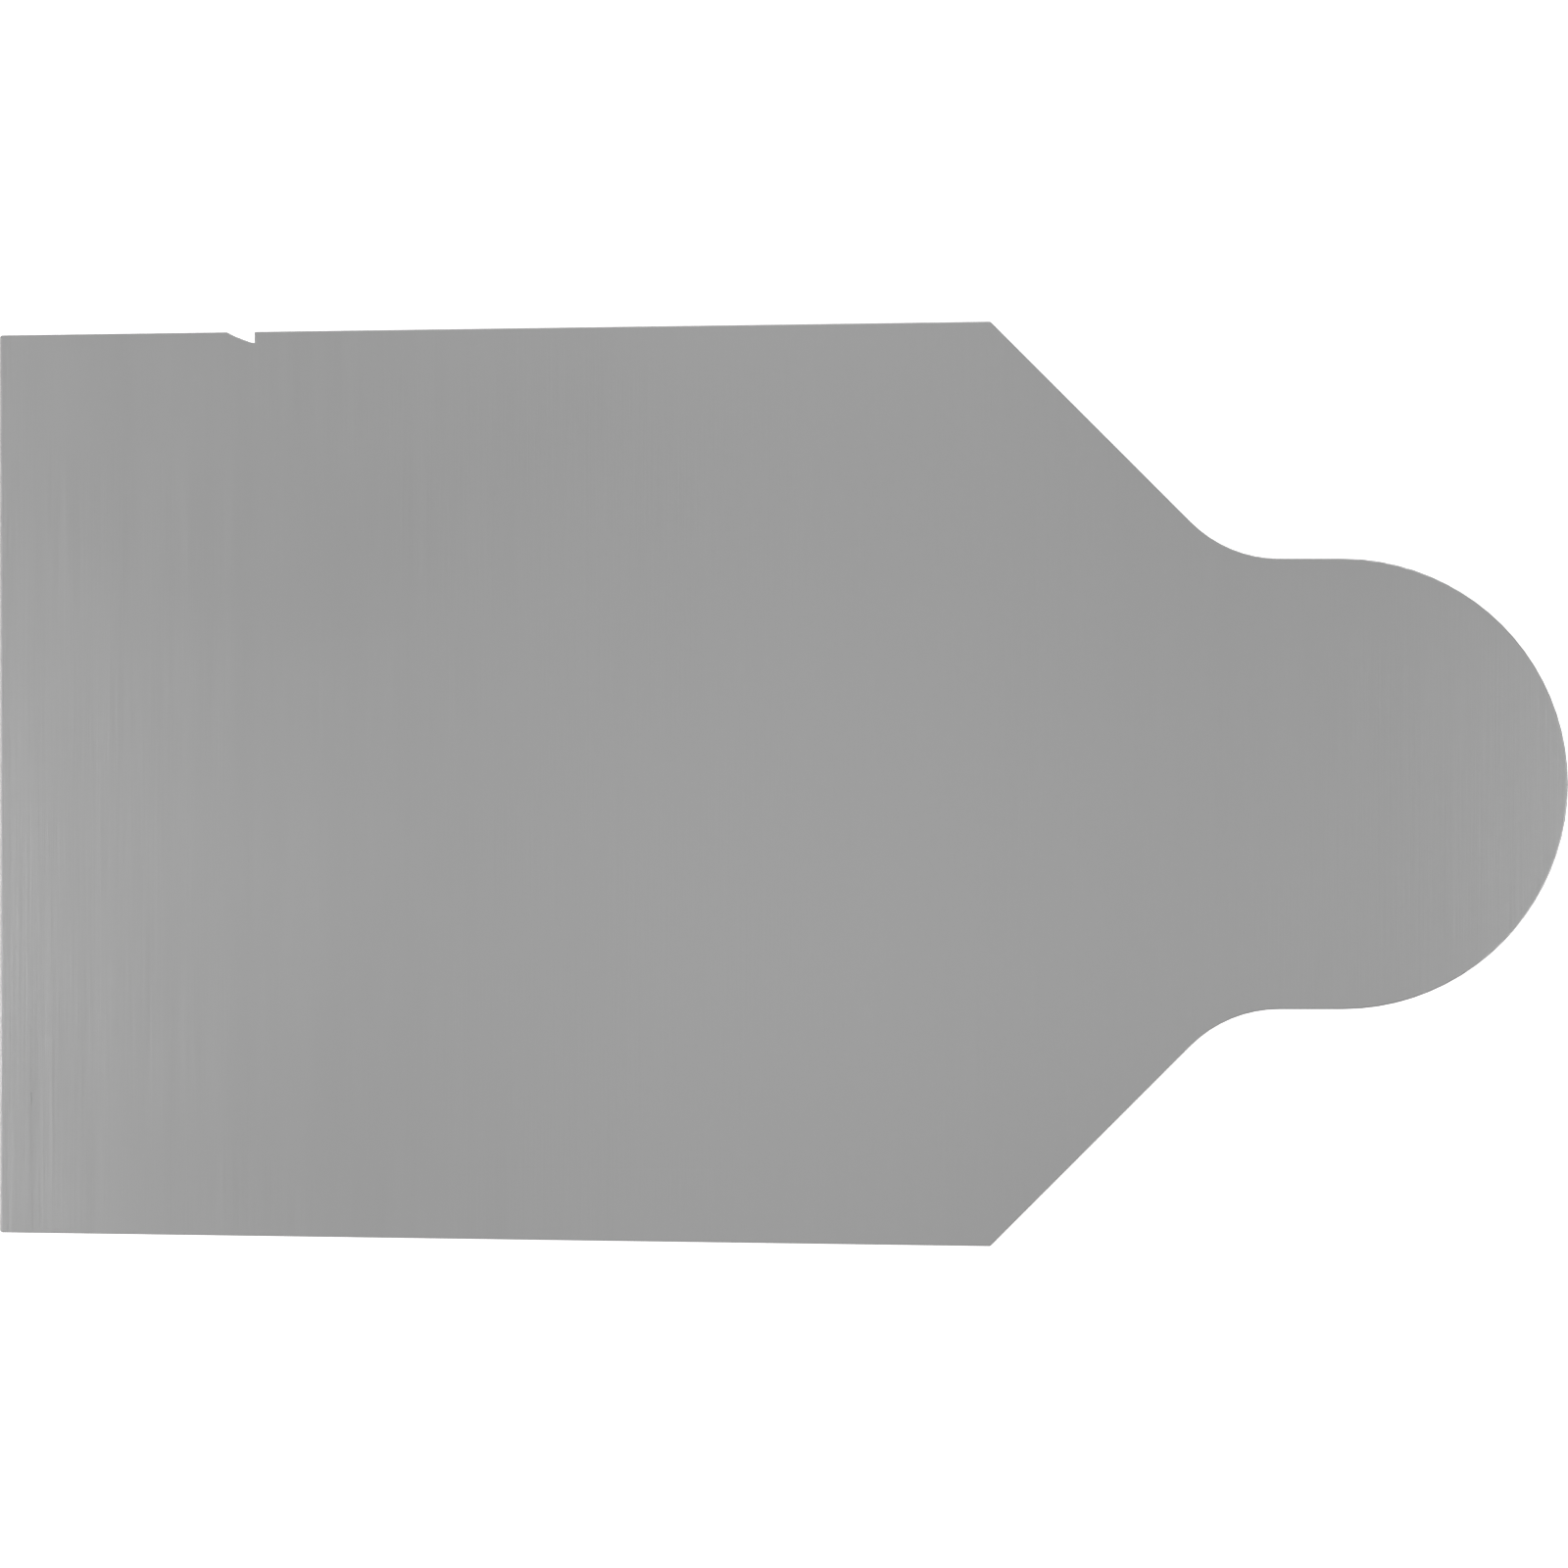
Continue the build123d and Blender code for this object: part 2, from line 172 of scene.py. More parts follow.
# ------------------------------------------------------------------ materials
def stainless_sheet():
    """Cold rolled satin sheet. The rolling lines run across the blade, along Y, and the sheet is not quite flat."""
    m = Mat("stainless_sheet", Metallic=1.0, Specular_IOR_Level=0.5)
    fine = m.noise(m.coords((1500, 26, 1500)), 1.0, 6.0, 0.62)
    bands = m.noise(m.coords((240, 5, 240), location=(2, 0, 7)), 1.0, 4.0, 0.55)
    broad = m.noise(m.coords((60, 3.0, 60)), 1.0, 3.0, 0.5)
    cloud = m.noise(m.coords((9, 9, 9)), 1.0, 3.0, 0.5, 0.4)
    wave = m.noise(m.coords((13, 9, 13), location=(4, 1, 0)), 1.0, 1.0, 0.4)
    speck = m.noise(m.coords((4200, 4200, 4200)), 1.0, 2.0, 0.5)
    tone = m.math("MULTIPLY_ADD", m.math("SUBTRACT", fine, 0.5), 0.030, 1.0)
    tone = m.math("MULTIPLY_ADD", m.math("SUBTRACT", bands, 0.5), 0.012, tone)
    tone = m.math("MULTIPLY_ADD", m.math("SUBTRACT", broad, 0.5), 0.016, tone)
    tone = m.math("MULTIPLY_ADD", m.math("SUBTRACT", cloud, 0.5), 0.026, tone)
    # the sheared and rolled rim is rougher than the rolled faces; its colour is also painted darker, a painted shade
    # that tones down the rim's highlight
    _, _, up = m.split(m.node("ShaderNodeTexCoord").outputs["Normal"])
    rim_dulling_and_shade = m.remap(m.math("ABSOLUTE", up), 0.97, 0.75, 0.0, 1.0)
    # painted shade: the tilted rim's colour is darkened by up to 36 percent
    tone = m.math("MULTIPLY", tone, m.math("MULTIPLY_ADD", rim_dulling_and_shade, -0.36, 1.0))
    base = m.mix(1.0, BLADE_TONE, m.join(tone, tone, tone), "MULTIPLY")
    # single hairlines from use, thin and far apart, in two directions
    hair = m.noise(m.coords((430, 5.0, 430), rotation=(0, 0, 0.16)), 1.0, 2.0, 0.5)
    hair2 = m.noise(m.coords((4.5, 470, 470), rotation=(0, 0, -0.34), location=(1, 5, 2)), 1.0, 2.0, 0.5)
    lines = m.math("MAXIMUM", m.remap(hair, 0.70, 0.76, 0.0, 1.0, smooth=True), m.remap(hair2, 0.71, 0.77, 0.0, 0.8, smooth=True))
    rough = m.math("MULTIPLY_ADD", m.math("SUBTRACT", fine, 0.5), 0.10, BLADE_ROUGH)
    rough = m.math("MULTIPLY_ADD", m.math("SUBTRACT", bands, 0.5), 0.05, rough)
    rough = m.math("MULTIPLY_ADD", m.math("SUBTRACT", cloud, 0.5), 0.08, rough)
    rough = m.math("MULTIPLY_ADD", lines, -0.04, rough)
    rough = m.math("MULTIPLY_ADD", rim_dulling_and_shade, 0.12, rough)
    height = m.math("MULTIPLY_ADD", fine, 1.0, m.math("MULTIPLY", speck, 0.12))
    height = m.math("MULTIPLY_ADD", bands, 1.4, height)
    height = m.math("MULTIPLY_ADD", lines, -0.15, height)
    flatness = m.bump(wave, BLADE_WAVE, 0.001)
    return m.out(Base_Color=base, Roughness=rough, Normal=m.bump(height, BLADE_GRAIN, 0.00007, flatness))


def plated_steel(name, tint, rough, turned=False):
    """Zinc plate: a slightly uneven tint, small pits and handling scuffs."""
    m = Mat(name, Metallic=1.0)
    cloud = m.noise(m.coords((55, 55, 55)), 1.0, 4.0, 0.55, 0.6)
    grain = m.noise(m.coords((1400, 1400, 1400)), 1.0, 3.0, 0.6)
    crystal = m.voronoi(m.coords((700, 700, 700)), 1.0, "F1", out="Color")
    warm = tuple(c * k for c, k in zip(tint, (1.04, 0.98, 0.86)))
    cool = tuple(c * k for c, k in zip(tint, (0.88, 0.95, 1.06)))
    base = m.mix(m.remap(cloud, 0.35, 0.65, 0.0, 1.0), cool, warm)
    base = m.mix(0.07, base, crystal, "MULTIPLY")
    x, y, z = m.split()
    if turned:
        rings = m.noise(m.join(m.math("MULTIPLY", x, 40), m.math("MULTIPLY", y, 40), m.math("MULTIPLY", z, 5200)), 1.0, 3.0, 0.6)
    else:
        rings = m.noise(m.coords((900, 60, 900), rotation=(0, 0, 0.5)), 1.0, 4.0, 0.6)
    r = m.math("MULTIPLY_ADD", m.math("SUBTRACT", cloud, 0.5), 0.22, rough)
    r = m.math("MULTIPLY_ADD", m.math("SUBTRACT", rings, 0.5), 0.16, r)
    height = m.math("MULTIPLY_ADD", rings, 0.8, m.math("MULTIPLY", grain, 0.5))
    return m.out(Base_Color=base, Roughness=r, Normal=m.bump(height, 0.12, 0.00004))


def machined_brass():
    m = Mat("machined_brass", Metallic=1.0)
    x, y, z = m.split()
    rings = m.noise(m.join(m.math("MULTIPLY", x, 30), m.math("MULTIPLY", y, 30), m.math("MULTIPLY", z, 6000)), 1.0, 3.0, 0.6)
    cloud = m.noise(m.coords((80, 80, 80)), 1.0, 3.0, 0.5)
    base = m.mix(m.remap(cloud, 0.3, 0.7, 0.0, 1.0), (0.62, 0.42, 0.16), (0.78, 0.58, 0.28))
    r = m.math("MULTIPLY_ADD", rings, 0.18, 0.24)
    return m.out(Base_Color=base, Roughness=r, Normal=m.bump(rings, 0.15, 0.00004))


def nylon():
    m = Mat("nylon_blue", Subsurface_Weight=0.12, Subsurface_Scale=0.0006)
    cloud = m.noise(m.coords((300, 300, 300)), 1.0, 3.0, 0.5)
    fine = m.noise(m.coords((2600, 2600, 2600)), 1.0, 2.0, 0.5)
    base = m.mix(m.remap(cloud, 0.3, 0.7, 0.0, 1.0), (0.030, 0.085, 0.24), (0.045, 0.12, 0.31))
    return m.out(Base_Color=base, Roughness=m.math("MULTIPLY_ADD", fine, 0.14, 0.36), Normal=m.bump(fine, 0.15, 0.00003))


def vulcanised_fibre():
    m = Mat("vulcanised_fibre")
    fibres = m.noise(m.coords((700, 700, 60)), 1.0, 5.0, 0.65, 0.8)
    specks = m.voronoi(m.coords((1600, 1600, 1600)), 1.0, "F1")
    base = m.mix(m.remap(fibres, 0.3, 0.7, 0.0, 1.0), (0.20, 0.035, 0.020), (0.32, 0.075, 0.040))
    base = m.mix(m.remap(specks, 0.0, 0.25, 0.5, 0.0), base, (0.10, 0.02, 0.015))
    return m.out(Base_Color=base, Roughness=m.math("MULTIPLY_ADD", fibres, 0.2, 0.5), Normal=m.bump(fibres, 0.25, 0.00006))


def beech():
    """Steamed beech turned along Z: faint growth rings, short ray flecks and a thin satin varnish."""
    m = Mat("turned_beech", Coat_Weight=0.32, Coat_Roughness=0.24, Coat_IOR=1.48)
    obj = m.node("ShaderNodeTexCoord").outputs["Object"]
    drift = m.noise(m.coords((14, 14, 5), source=obj), 1.0, 3.0, 0.5)
    x, y, z = m.split(obj)
    dx = m.math("ADD", x, -0.031)
    dy = m.math("ADD", y, -0.019)
    radius = m.math("SQRT", m.math("ADD", m.math("MULTIPLY", dx, dx), m.math("MULTIPLY", dy, dy)))
    radius = m.math("MULTIPLY_ADD", drift, 0.0052, radius)
    cycle = m.math("FRACT", m.math("DIVIDE", radius, 0.0026))
    ring = m.remap(cycle, 0.0, 1.0, 0.0, 1.0, smooth=True)
    ring = m.math("MULTIPLY", ring, m.remap(cycle, 0.90, 1.0, 1.0, 0.0))
    fibre = m.noise(m.coords((2300, 2300, 42), source=obj), 1.0, 5.0, 0.62)
    streak = m.noise(m.coords((420, 420, 7), source=obj), 1.0, 4.0, 0.55)
    blotch = m.noise(m.coords((40, 40, 16), source=obj), 1.0, 3.0, 0.5)
    # rays: thin spindles, a few millimetres long, that lie along the grain
    ray = m.voronoi(m.coords((1250, 1250, 330), source=obj), 1.0, "F1")
    ray_gate = m.noise(m.coords((500, 500, 90), source=obj), 1.0, 2.0, 0.5)
    rays = m.math("MULTIPLY", m.remap(ray, 0.10, 0.32, 1.0, 0.0), m.remap(ray_gate, 0.47, 0.60, 0.0, 1.0), clamp=True)
    light, mid, dark = (0.60, 0.365, 0.190), (0.50, 0.285, 0.138), (0.36, 0.185, 0.082)
    base = m.mix(m.remap(streak, 0.32, 0.68, 0.0, 1.0), light, mid)
    base = m.mix(m.math("MULTIPLY", ring, 0.42), base, dark)
    base = m.mix(m.remap(fibre, 0.35, 0.75, 0.0, 0.28), base, dark)
    base = m.mix(m.math("MULTIPLY", rays, 0.62), base, (0.24, 0.115, 0.050))
    base = m.mix(m.remap(blotch, 0.4, 0.75, 0.0, 0.22), base, (0.45, 0.225, 0.095))
    # the bottom 2 mm of the grip, at its foot, is coloured darker, in patches
    foot = m.remap(z, 0.0004, 0.0022, 0.55, 0.0)
    base = m.mix(m.math("MULTIPLY", foot, m.remap(blotch, 0.3, 0.6, 0.5, 1.0)), base, (0.23, 0.115, 0.052))
    height = m.math("MULTIPLY_ADD", fibre, -0.7, m.math("MULTIPLY", rays, -0.6))
    height = m.math("MULTIPLY_ADD", ring, 0.35, height)
    r = m.math("MULTIPLY_ADD", fibre, 0.16, 0.38)
    r = m.math("MULTIPLY_ADD", blotch, 0.10, r)
    return m.out(Base_Color=base, Roughness=r, Normal=m.bump(height, 0.22, 0.00009))


def sponge():
    """Closed-skin black sponge rubber: dense small cells, a few open ones, with painted shade in the cell hollows and
    the open pits.
    """
    m = Mat("sponge", Sheen_Weight=0.25, Sheen_Roughness=0.6, Specular_IOR_Level=0.25)
    cell_relief_and_shade = m.voronoi(m.coords((1500, 1500, 1500)), 1.0, "F1")
    cells2 = m.voronoi(m.coords((620, 620, 620), location=(3, 5, 1)), 1.0, "F1")
    gate = m.noise(m.coords((330, 330, 330)), 1.0, 3.0, 0.6)
    dust = m.noise(m.coords((60, 60, 60)), 1.0, 5.0, 0.6)
    open_pits_and_shade = m.math("MULTIPLY", m.remap(cells2, 0.12, 0.42, 1.0, 0.0), m.remap(gate, 0.52, 0.62, 0.0, 1.0), clamp=True)
    # painted shade: the cell hollows, low in the bump, are coloured darker than the cell rims
    base = m.mix(m.remap(cell_relief_and_shade, 0.1, 0.7, 0.0, 1.0), (0.020, 0.020, 0.0205), (0.062, 0.062, 0.064))
    # painted shade: the open pits are coloured near black, as the shade inside them
    base = m.mix(m.math("MULTIPLY", open_pits_and_shade, 0.75), base, (0.006, 0.006, 0.006))
    base = m.mix(m.remap(dust, 0.48, 0.8, 0.0, 0.35), base, (0.135, 0.130, 0.122))
    height = m.math("MULTIPLY_ADD", open_pits_and_shade, -1.6, cell_relief_and_shade)
    return m.out(Base_Color=base, Roughness=m.math("MULTIPLY_ADD", dust, 0.12, 0.82), Normal=m.bump(height, 0.55, 0.00025))


def dress(name, material):
    mesh = nodes_by_name[name].data
    mesh.materials.clear()
    mesh.materials.append(material)


BLADE_TONE = (0.46, 0.46, 0.46)
BLADE_ROUGH = 0.34
BLADE_GRAIN = 0.40
BLADE_WAVE = 0.32
zinc = plated_steel("zinc_plate", (0.60, 0.61, 0.62), 0.30)
zinc_turned = plated_steel("zinc_turned", (0.64, 0.645, 0.65), 0.30, turned=True)
sheet_metal = stainless_sheet()
stud_metal = plated_steel("stud_steel", (0.58, 0.575, 0.565), 0.30, turned=True)
pin_metal = plated_steel("pin_steel", (0.50, 0.50, 0.50), 0.36)
drawn = plated_steel("drawn_ferrule", (0.63, 0.625, 0.62), 0.20, turned=True)

dress("blade", sheet_metal)
dress("mounting_plate", zinc)
dress("flat_washers", zinc)
dress("lock_nuts", zinc)
dress("nylon_rings", nylon())
dress("toothed_washer", zinc)
dress("jam_nut", zinc)
dress("thrust_washer", vulcanised_fibre())
dress("ferrule", drawn)
dress("threaded_insert", machined_brass())
dress("grip", beech())
dress("cross_pin", pin_metal)


# ------------------------------------------------------------------ mesh helpers
def new_object(name, verts, faces, material, smooth=True, sharp_deg=35):
    mesh = bpy.data.meshes.new(name)
    mesh.from_pydata([tuple(v) for v in verts], [], faces)
    bm = bmesh.new()
    bm.from_mesh(mesh)
    bmesh.ops.recalc_face_normals(bm, faces=bm.faces)
    if smooth:
        limit = math.radians(sharp_deg)
        for f in bm.faces:
            f.smooth = True
        for e in bm.edges:
            e.smooth = len(e.link_faces) == 2 and e.calc_face_angle(0.0) < limit
    bm.to_mesh(mesh)
    bm.free()
    mesh.materials.append(material)
    obj = bpy.data.objects.new(name, mesh)
    scene.collection.objects.link(obj)
    return obj


def rows_to_solid(rows, centre_xy=(0.0, 0.0)):
    """Vertices and faces of a closed solid from rings of equal length, with a fan at both ends."""
    n = len(rows[0])
    verts = [v for row in rows for v in row]
    faces = []
    for i in range(len(rows) - 1):
        a, b = i * n, (i + 1) * n
        for k in range(n):
            l = (k + 1) % n
            faces.append((a + k, a + l, b + l, b + k))
    first, last = len(verts), len(verts) + 1
    verts.append((centre_xy[0], centre_xy[1], sum(v[2] for v in rows[0]) / n))
    verts.append((centre_xy[0], centre_xy[1], sum(v[2] for v in rows[-1]) / n))
    top = (len(rows) - 1) * n
    for k in range(n):
        l = (k + 1) % n
        faces.append((first, l, k))
        faces.append((last, top + k, top + l))
    return verts, faces


def thread_radius(turn, z, pitch, crest, depth):
    """A 60 degree thread with a flat crest and a rounded root."""
    t = (z / pitch - turn) % 1.0
    t = abs(t - 0.5) * 2.0  # 0 at the crest's centre line, 1 at the root's
    flat, root = 0.14, 0.80
    if t < flat:
        k = 0.0
    elif t > root:
        k = 1.0
    else:
        k = (t - flat) / (root - flat)
        k = k * (0.75 + 0.25 * k)
    return crest - depth * k


def threaded_rows(z_end, z_top, pitch, crest, depth, lead, seg=96, per_pitch=14, cx=0.0, cy=0.0, runout=1.0):
    """Rings up a shank whose free end is at z_end: chamfered lead, full thread, then a runout."""
    rows = []
    count = int(round((z_top - z_end) / pitch * per_pitch))
    for i in range(count + 1):
        z = z_end + (z_top - z_end) * i / count
        limit = crest if z - z_end > lead else crest - (lead - (z - z_end))
        fade = min(1.0, max(0.0, (z_top - z) / (runout * pitch)))
        row = []
        for k in range(seg):
            a = 2 * math.pi * k / seg
            r = thread_radius(k / seg, z, pitch, crest, depth * fade)
            r = min(r, limit)
            row.append((cx + r * math.cos(a), cy + r * math.sin(a), z))
        rows.append(row)
    return rows


def ring(r, z, seg, cx=0.0, cy=0.0):
    return [(cx + r * math.cos(2 * math.pi * k / seg), cy + r * math.sin(2 * math.pi * k / seg), z) for k in range(seg)]


def square_ring(half, corner, z, seg):
    row = []
    for k in range(seg):
        a = 2 * math.pi * k / seg
        c, s = abs(math.cos(a)), abs(math.sin(a))
        row.append(a)
    out = []
    for a in row:
        c, s = math.cos(a), math.sin(a)
        r = half / max(abs(c), abs(s))
        r = min(r, corner)
        out.append((r * c, r * s, z))
    return out


# ------------------------------------------------------------------ centre stud, M10 x 1.5
seg = 96
lo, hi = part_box("handle_stud")
plate_lo, plate_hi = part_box("mounting_plate")
stud_end, head_top = lo.z, hi.z
floor_top = head_top - 4.6 * MM
rows = threaded_rows(stud_end, floor_top - 2.4 * MM, 1.5 * MM, 4.975 * MM, 0.90 * MM, 1.0 * MM, seg)
rows.append(ring(4.975 * MM, floor_top - 2.0 * MM, seg))
rows.append(square_ring(4.98 * MM, 6.75 * MM, floor_top - 1.95 * MM, seg))
rows.append(square_ring(4.98 * MM, 6.75 * MM, floor_top, seg))
rows.append(ring(10.7 * MM, floor_top + 0.0 * MM, seg))
rows.append(ring(10.98 * MM, floor_top + 0.25 * MM, seg))
rows.append(ring(10.98 * MM, floor_top + 0.8 * MM, seg))
dome_r = (11.0**2 + 3.7**2) / (2 * 3.7)
for i in range(1, 15):
    r = 10.8 * (1 - i / 15.0)
    z = 4.6 - dome_r + math.sqrt(dome_r**2 - r**2)
    rows.append(ring(r * MM, floor_top + (z - 0.02) * MM, seg))
verts, faces = rows_to_solid(rows)
stud = new_object("centre_stud_threaded", verts, faces, stud_metal, sharp_deg=50)
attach(stud, "blade_unit")
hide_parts("handle_stud")

# ------------------------------------------------------------------ four weld studs, M5 x 0.8, each with its flash collar
lo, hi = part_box("weld_studs")
half_x, half_y = (hi.x - lo.x) / 2 - 3.25 * MM, (hi.y - lo.y) / 2 - 3.25 * MM
verts, faces = [], []
random.seed(7)
for sx in (-1, 1):
    for sy in (-1, 1):
        cx, cy = sx * half_x, sy * half_y
        s = 64
        rows = threaded_rows(lo.z, hi.z - 1.9 * MM, 0.8 * MM, 2.48 * MM, 0.48 * MM, 0.5 * MM, s, 12, cx, cy)
        rows.append(ring(2.45 * MM, hi.z - 1.0 * MM, s, cx, cy))
        phase = random.uniform(0, 6.28)
        for r, dz, wob in ((2.75, 0.72, 0.10), (3.05, 0.55, 0.14), (3.12, 0.25, 0.10), (3.2, 0.02, 0.03)):
            rows.append(
                [
                    (
                        cx + (r + wob * math.sin(5 * a + phase) * 0.5 + wob * math.sin(11 * a + 2 * phase) * 0.35) * MM * math.cos(a),
                        cy + (r + wob * math.sin(5 * a + phase) * 0.5 + wob * math.sin(11 * a + 2 * phase) * 0.35) * MM * math.sin(a),
                        hi.z - dz * MM,
                    )
                    for a in (2 * math.pi * k / s for k in range(s))
                ]
            )
        v, f = rows_to_solid(rows, (cx, cy))
        base = len(verts)
        verts += v
        faces += [tuple(base + i for i in face) for face in f]
studs = new_object("weld_studs_threaded", verts, faces, stud_metal, sharp_deg=50)
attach(studs, "blade_unit")
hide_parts("weld_studs")

# ------------------------------------------------------------------ sponge ring
lo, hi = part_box("callus_pad")
r_out, bore = (hi.x - lo.x) / 2, 16.3 * MM
z0, z1 = lo.z, hi.z
height = z1 - z0


def pad_profile():
    """Closed profile of the ring, from the bore's foot outwards: moulded round edges, a crowned top and bottom, a full side."""
    pts = []

    def arc(cx, cz, r, a0, a1, n):
        for i in range(n + 1):
            a = math.radians(a0 + (a1 - a0) * i / n)
            pts.append((cx + r * math.cos(a), cz + r * math.sin(a)))

    e = 2.6 * MM
    inner = 1.0 * MM
    arc(bore + inner + 0.1 * MM, z0 + inner + 0.12 * MM, inner, 180, 270, 5)
    for i in range(1, 14):
        t = i / 14
        r = bore + inner + (r_out - e - bore - inner) * t
        pts.append((r, z0 + 0.12 * MM - 0.12 * MM * math.sin(math.pi * t)))
    arc(r_out - e - 0.35 * MM, z0 + e + 0.05 * MM, e, -90, -18, 7)
    for i in range(1, 8):
        t = i / 8
        z = z0 + e * 0.72 + (height - 2 * e * 0.72) * t
        bulge = 0.33 * MM * math.sin(math.pi * t)
        pts.append((r_out - 0.47 * MM + bulge, z))
    arc(r_out - e - 0.35 * MM, z1 - e - 0.05 * MM, e, 18, 90, 7)
    for i in range(1, 12):
        t = i / 12
        r = r_out - e - (r_out - e - bore - 3.6 * MM) * t
        pts.append((r, z1 - 0.12 * MM + 0.12 * MM * math.sin(math.pi * t)))
    pts.append((bore + 3.3 * MM, z1 - 0.25 * MM))
    pts.append((bore + 1.7 * MM, z1 - 1.75 * MM))
    pts.append((bore + 0.35 * MM, z1 - 3.25 * MM))
    pts.append((bore + 0.12 * MM, z1 - 4.2 * MM))
    for i in range(1, 6):
        t = i / 6
        pts.append((bore + 0.1 * MM, z1 - 4.2 * MM - (height - 5.6 * MM) * t))
    return pts


profile = pad_profile()
pad_seg = 240
verts, faces = [], []
for k in range(pad_seg):
    a = 2 * math.pi * k / pad_seg
    for r, z in profile:
        p = Vector((r * math.cos(a), r * math.sin(a), z))
        outward = Vector((math.cos(a), math.sin(a), 0))
        wave = noise.noise(p * 55) * 0.22 + noise.noise(p * 260) * 0.10
        share = min(1.0, max(0.0, (r - bore - 2 * MM) / (4 * MM)))
        inward = -abs(wave) * share * MM
        q = p + outward * inward * 1.1
        mid = (z - (z0 + z1) / 2) / (height / 2)
        q.z -= math.copysign(abs(noise.noise(p * 70 + Vector((9, 2, 4)))) * 0.20 * MM, mid) * abs(mid) * share
        verts.append(q)
m_pts = len(profile)
for k in range(pad_seg):
    a, b = k * m_pts, ((k + 1) % pad_seg) * m_pts
    for i in range(m_pts):
        j = (i + 1) % m_pts
        faces.append((a + i, a + j, b + j, b + i))
pad = new_object("sponge_ring", verts, faces, sponge(), sharp_deg=80)
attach(pad, "pad")
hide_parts("callus_pad")

# ------------------------------------------------------------------ floor
floor_mesh = bpy.data.meshes.new("floor")
floor_mesh.from_pydata([(-6, -6, 0), (6, -6, 0), (6, 6, 0), (-6, 6, 0)], [], [(0, 1, 2, 3)])
floor_obj = bpy.data.objects.new("floor", floor_mesh)
floor_obj.location.z = -0.0002
scene.collection.objects.link(floor_obj)
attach(floor_obj, "handle")  # the tool stands on its foot, so the floor stays under it when the handle is unscrewed
fm = bpy.data.materials.new("floor_pale")
fm.use_nodes = True
t = fm.node_tree
p = t.nodes["Principled BSDF"]
p.inputs["Base Color"].default_value = (0.80, 0.80, 0.80, 1)
p.inputs["Roughness"].default_value = 0.9
p.inputs["Specular IOR Level"].default_value = 0.0
p.inputs["Emission Color"].default_value = (1, 1, 1, 1)
p.inputs["Emission Strength"].default_value = 0.56
# the floor glows to a plain white backdrop, and lights the object from below only a little
path = t.nodes.new("ShaderNodeLightPath")
glow = t.nodes.new("ShaderNodeMapRange")
glow.inputs["To Min"].default_value = 0.12
glow.inputs["To Max"].default_value = 0.56
t.links.new(path.outputs["Is Camera Ray"], glow.inputs["Value"])
t.links.new(glow.outputs[0], p.inputs["Emission Strength"])
clear = t.nodes.new("ShaderNodeBsdfTransparent")
geo = t.nodes.new("ShaderNodeNewGeometry")
mixer = t.nodes.new("ShaderNodeMixShader")
t.links.new(geo.outputs["Backfacing"], mixer.inputs[0])
t.links.new(p.outputs[0], mixer.inputs[1])
t.links.new(clear.outputs[0], mixer.inputs[2])
t.links.new(mixer.outputs[0], t.nodes["Material Output"].inputs["Surface"])
floor_mesh.materials.append(fm)

# ------------------------------------------------------------------ light
world = bpy.data.worlds.new("studio")
world.use_nodes = True
wt = world.node_tree
background = wt.nodes["Background"]
direction = wt.nodes.new("ShaderNodeTexCoord")
parts = wt.nodes.new("ShaderNodeSeparateXYZ")
sky = wt.nodes.new("ShaderNodeValToRGB")
wt.links.new(direction.outputs["Generated"], parts.inputs[0])
wt.links.new(parts.outputs[2], sky.inputs[0])
wt.links.new(sky.outputs[0], background.inputs["Color"])
ramp = sky.color_ramp.elements
ramp[0].position, ramp[0].color = 0.0, (0.78, 0.78, 0.78, 1)
ramp[1].position, ramp[1].color = 0.86, (0.40, 0.40, 0.40, 1)
for where, level in ((0.14, 0.77), (0.34, 0.67), (0.60, 0.48), (0.74, 0.42)):
    ramp.new(where).color = (level, level, level, 1)
background.inputs["Strength"].default_value = 1.0
scene.world = world


def softbox(name, location, aim, size, power):
    data = bpy.data.lights.new(name, "AREA")
    data.shape = "RECTANGLE"
    data.size, data.size_y = size
    data.energy = power
    obj = bpy.data.objects.new(name, data)
    obj.location = location
    obj.rotation_euler = (Vector(aim) - Vector(location)).to_track_quat("-Z", "Y").to_euler()
    obj.visible_camera = False
    scene.collection.objects.link(obj)
    return obj


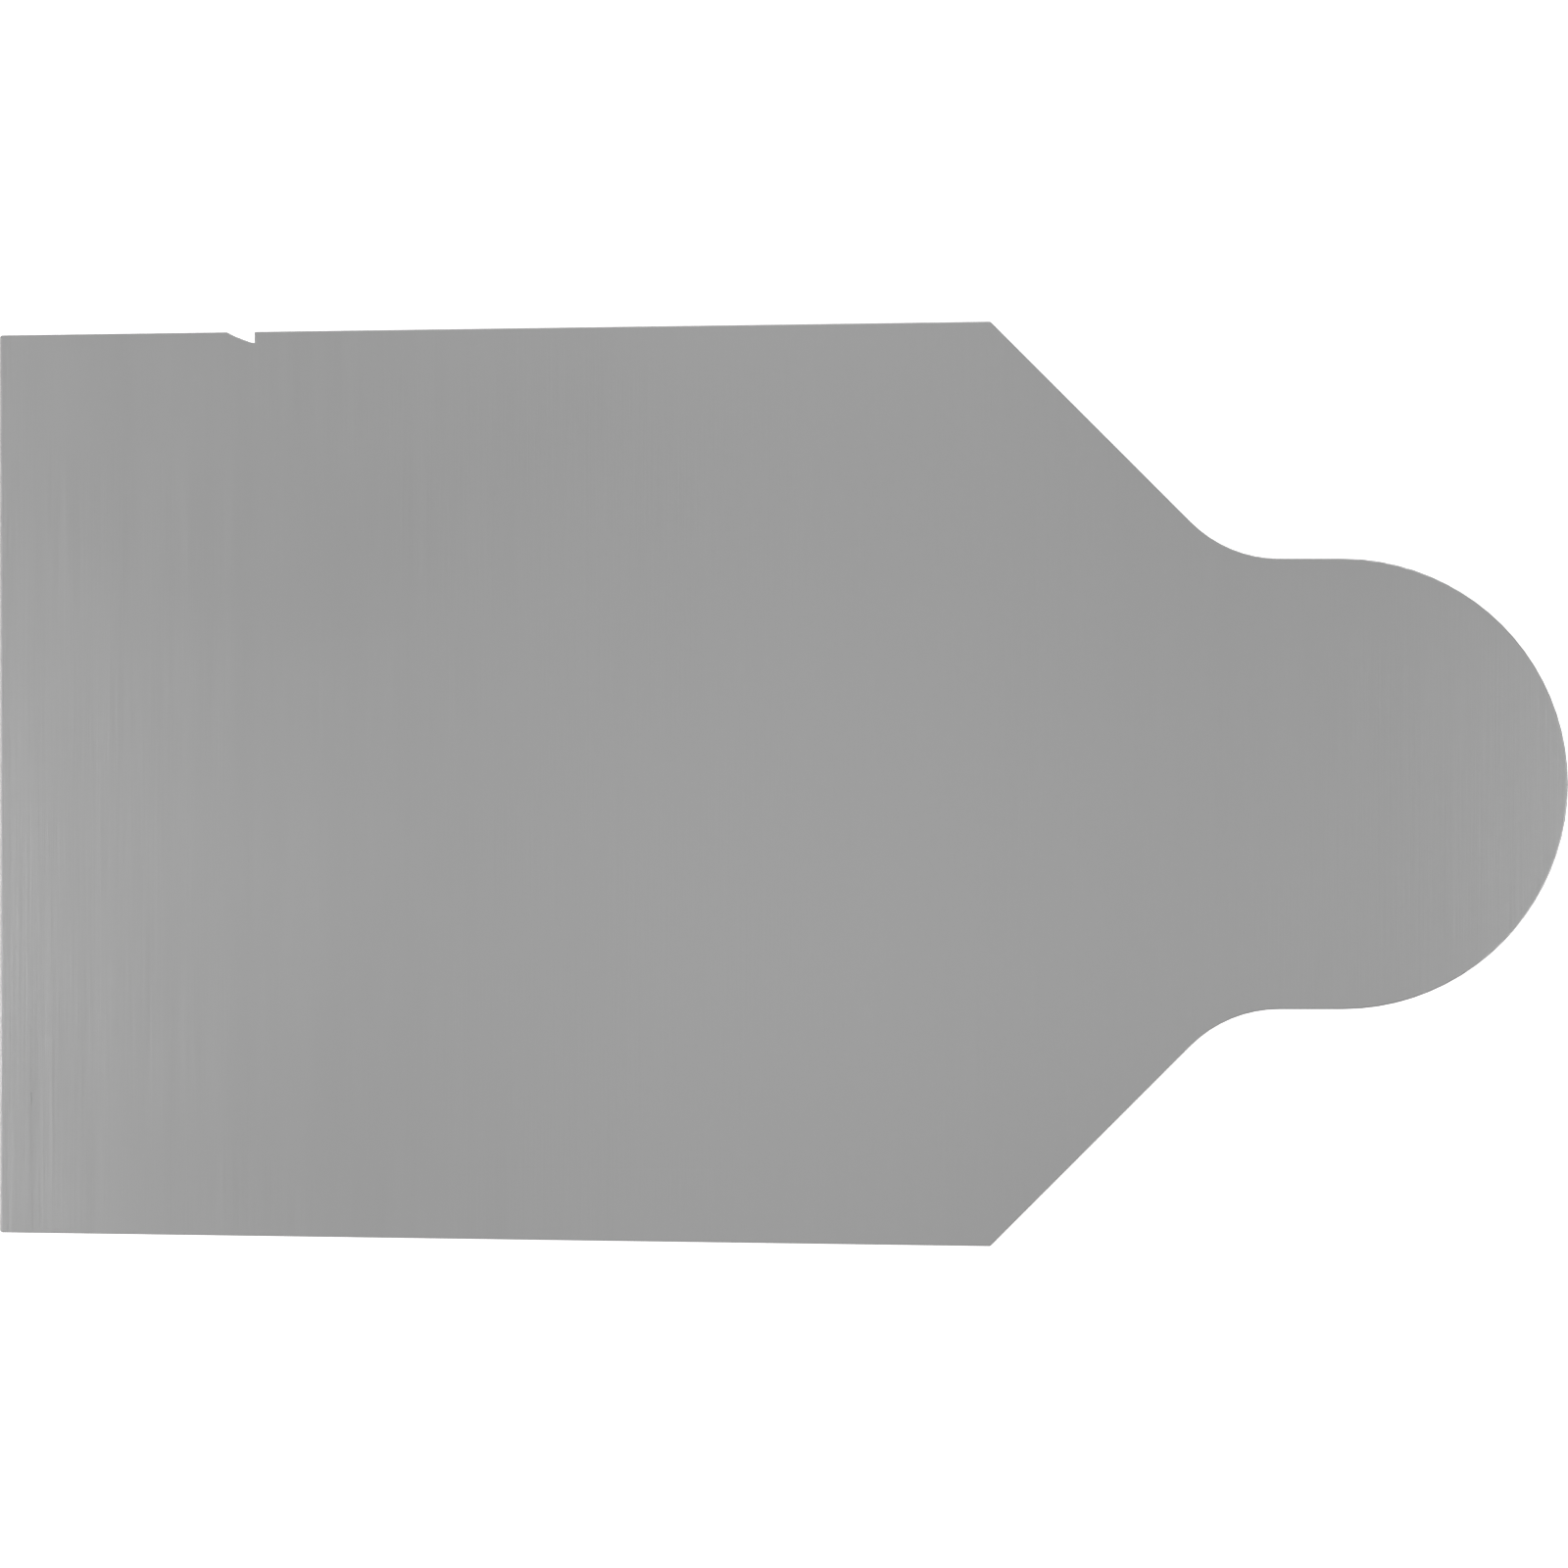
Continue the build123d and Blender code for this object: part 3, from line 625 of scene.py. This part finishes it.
SIDE_LIGHTS = (
    ("side_left", (-1.25, -1.05, 0.42), (0, 0, 0.08), (0.9, 0.6), 10.0),
    ("side_right", (1.35, -0.75, 0.50), (0, 0, 0.08), (0.7, 0.5), 5.0),
    ("side_back", (0.35, 1.45, 0.55), (0, 0, 0.08), (1.1, 0.5), 7.0),
    # four higher soft boxes, which the blade mirrors when it is seen from a corner
    ("side_corner_a", (-0.80, 0.80, 0.66), (0, 0, 0.13), (0.55, 0.40), 0.42),
    ("side_corner_b", (0.88, 0.74, 0.70), (0, 0, 0.13), (0.55, 0.40), 0.32),
    ("side_corner_c", (-0.82, -0.86, 0.72), (0, 0, 0.13), (0.55, 0.40), 0.38),
    ("side_corner_d", (0.86, -0.78, 0.68), (0, 0, 0.13), (0.55, 0.40), 0.3),
)
OVERHEAD_LIGHTS = (
    ("over_front", (-0.25, 0.0, 1.30), (0.02, 0, 0.13), (0.45, 0.45), 0.1404),
    ("over_tail", (0.20, 0.0, 1.30), (0.02, 0, 0.13), (0.45, 0.45), 0.2027),
    ("near_front", (-0.45, -0.05, 0.62), (-0.27, -0.03, 0.13), (0.20, 0.20), 0.87),
    ("near_low_front", (-0.20, -0.30, 0.62), (-0.12, -0.18, 0.13), (0.20, 0.20), 0.0464),
    ("near_top_front", (-0.20, 0.25, 0.62), (-0.12, 0.15, 0.13), (0.20, 0.20), 0.0247),
    ("near_low", (0.02, -0.30, 0.62), (0.012, -0.18, 0.13), (0.20, 0.20), 0.0385),
    ("near_mid", (0.02, -0.05, 0.62), (0.012, -0.03, 0.13), (0.20, 0.20), 0.0248),
    ("near_top", (0.02, 0.25, 0.62), (0.012, 0.15, 0.13), (0.20, 0.20), 0.0639),
    ("near_tail", (0.45, -0.05, 0.62), (0.27, -0.03, 0.13), (0.20, 0.20), 0.3535),
)
for light in SIDE_LIGHTS + OVERHEAD_LIGHTS:
    softbox(*light)

# ------------------------------------------------------------------ camera, straight above the blade
blade_lo, blade_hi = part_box("blade")
span = blade_hi.x - blade_lo.x  # the blade fills the frame from side to side
cam_data = bpy.data.cameras.new("camera")
cam_data.lens = 200.0
cam_data.sensor_width = 36.0
cam = bpy.data.objects.new("camera", cam_data)
cam.location = (
    blade_lo.x + span / 2,
    -0.1 / 1600.0 * span,
    blade_hi.z + span / 2 / (18.0 / 200.0),
)
cam.rotation_euler = (0, 0, 0)
scene.collection.objects.link(cam)
scene.camera = cam
scene.view_settings.view_transform = "Standard"
scene.view_settings.look = "None"
